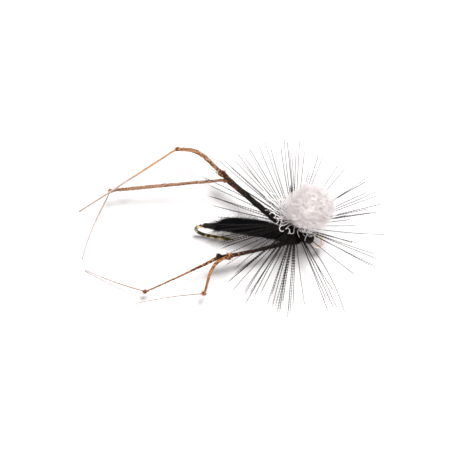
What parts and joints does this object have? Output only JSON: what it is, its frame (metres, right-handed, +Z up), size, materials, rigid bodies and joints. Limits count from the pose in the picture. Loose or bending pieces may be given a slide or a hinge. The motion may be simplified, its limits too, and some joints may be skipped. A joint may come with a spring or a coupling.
{
  "type": "dry fly",
  "caption": "Parachute dry fly with a black dubbed body, a white yarn post, a flat black hackle and long knotted trailing legs on a bronzed hook.",
  "frame": {"origin": "centre of the hook eye", "axes": "+X forward out of the eye along the shank, +Y the fly's left, +Z up with the hook point below"},
  "size_m": [0.0403, 0.0247, 0.0154],
  "materials": {
    "bronzed_wire": "bright bronzed lacquer",
    "black_thread": "waxed, slight sheen",
    "black_dubbing": "matt fur with a cold sheen",
    "white_yarn": "crimped, soft satin",
    "hackle_feather": "glossy barbs",
    "dark_herl": "satin",
    "copper_herl": "fuzzy, satin edges",
    "thin_herl": "satin"
  },
  "bodies": {
    "fly_body": {"abdomen_dubbing": "black_dubbing", "hackle_barbs_turn_1": "hackle_feather", "hackle_barbs_turn_2": "hackle_feather", "hackle_barbs_turn_3": "hackle_feather", "hackle_barbs_turn_4": "hackle_feather", "hackle_barbs_turn_5": "hackle_feather", "hackle_quill": "hackle_feather", "hook": "bronzed_wire", "leg_butts_left": "dark_herl", "leg_butts_right": "dark_herl", "post_thread_wraps": "black_thread", "rear_thread_wraps": "black_thread", "thorax_dubbing": "black_dubbing", "thread_base": "black_thread", "thread_head": "black_thread", "wing_post_yarn": "white_yarn"},
    "left_front_leg_upper": {"left_front_femur": "dark_herl"},
    "left_front_leg_middle": {"left_front_knee_knot": "copper_herl", "left_front_tibia": "copper_herl"},
    "left_front_leg_tip": {"left_front_ankle_knot": "thin_herl", "left_front_tarsus": "thin_herl"},
    "left_rear_leg_upper": {"left_rear_femur": "dark_herl"},
    "left_rear_leg_middle": {"left_rear_knee_knot": "copper_herl", "left_rear_tibia": "copper_herl"},
    "left_rear_leg_tip": {"left_rear_ankle_knot": "thin_herl", "left_rear_tarsus": "thin_herl"},
    "right_front_leg_upper": {"right_front_femur": "dark_herl"},
    "right_front_leg_middle": {"right_front_knee_knot": "copper_herl", "right_front_tibia": "copper_herl"},
    "right_front_leg_tip": {"right_front_ankle_knot": "thin_herl", "right_front_tarsus": "thin_herl"},
    "right_rear_leg_upper": {"right_rear_femur": "dark_herl"},
    "right_rear_leg_middle": {"right_rear_knee_knot": "copper_herl", "right_rear_tibia": "copper_herl"},
    "right_rear_leg_tip": {"right_rear_ankle_knot": "thin_herl", "right_rear_tarsus": "thin_herl"}
  },
  "joints": [
    {"name": "left_front_leg_raise", "type": "hinge", "parent": "fly_body", "child": "left_front_leg_upper", "pos_m": [-0.0048, 0.00135, 0.0015], "axis": [0.5446, 0.8387, 0], "range_deg": [-2, 8], "stiffness_Nm_per_rad": 0.00002},
    {"name": "left_front_knee_bend", "type": "hinge", "parent": "left_front_leg_upper", "child": "left_front_leg_middle", "pos_m": [-0.01322, 0.00682, 0.00327], "axis": [-0.1456, -0.5005, 0.8534], "range_deg": [-8, 8], "stiffness_Nm_per_rad": 0.00001},
    {"name": "left_front_ankle_bend", "type": "hinge", "parent": "left_front_leg_middle", "child": "left_front_leg_tip", "pos_m": [-0.01963, 0.00909, 0.00351], "axis": [-0.0111, -0.1351, 0.9908], "range_deg": [-12, 12], "stiffness_Nm_per_rad": 0.000005},
    {"name": "left_rear_leg_raise", "type": "hinge", "parent": "fly_body", "child": "left_rear_leg_upper", "pos_m": [-0.00525, 0.0014, 0.0008], "axis": [0.4818, 0.8763, 0], "range_deg": [-9, 2], "stiffness_Nm_per_rad": 0.00002},
    {"name": "left_rear_knee_bend", "type": "hinge", "parent": "left_rear_leg_upper", "child": "left_rear_leg_middle", "pos_m": [-0.0127, 0.00549, 0.00308], "axis": [-0.0426, -0.5437, 0.8382], "range_deg": [-8, 8], "stiffness_Nm_per_rad": 0.00001},
    {"name": "left_rear_ankle_bend", "type": "hinge", "parent": "left_rear_leg_middle", "child": "left_rear_leg_tip", "pos_m": [-0.02775, 0.00316, 0.0008], "axis": [-0.0984, -0.2932, 0.951], "range_deg": [-12, 12], "stiffness_Nm_per_rad": 0.000005},
    {"name": "right_front_leg_raise", "type": "hinge", "parent": "fly_body", "child": "right_front_leg_upper", "pos_m": [-0.00455, -0.0015, 0.0012], "axis": [-0.4115, 0.9114, 0], "range_deg": [-3, 4], "stiffness_Nm_per_rad": 0.00002},
    {"name": "right_front_knee_bend", "type": "hinge", "parent": "right_front_leg_upper", "child": "right_front_leg_middle", "pos_m": [-0.01103, -0.00443, 0.00284], "axis": [0.4548, -0.6948, 0.5572], "range_deg": [-3, 12], "stiffness_Nm_per_rad": 0.00001},
    {"name": "right_front_ankle_bend", "type": "hinge", "parent": "right_front_leg_middle", "child": "right_front_leg_tip", "pos_m": [-0.01377, -0.00881, -0.00039], "axis": [0.1658, 0.5158, -0.8405], "range_deg": [-15, 4], "stiffness_Nm_per_rad": 0.000005},
    {"name": "right_rear_leg_raise", "type": "hinge", "parent": "fly_body", "child": "right_rear_leg_upper", "pos_m": [-0.0053, -0.00138, 0.00045], "axis": [-0.3746, 0.9272, 0], "range_deg": [-8, 3], "stiffness_Nm_per_rad": 0.00002},
    {"name": "right_rear_knee_bend", "type": "hinge", "parent": "right_rear_leg_upper", "child": "right_rear_leg_middle", "pos_m": [-0.0124, -0.00425, 0.00126], "axis": [0.3861, -0.8685, 0.311], "range_deg": [-12, 3], "stiffness_Nm_per_rad": 0.00001},
    {"name": "right_rear_ankle_bend", "type": "hinge", "parent": "right_rear_leg_middle", "child": "right_rear_leg_tip", "pos_m": [-0.02144, -0.00926, -0.00151], "axis": [0.278, 0.0292, -0.9601], "range_deg": [-15, 15], "stiffness_Nm_per_rad": 0.000005}
  ]
}
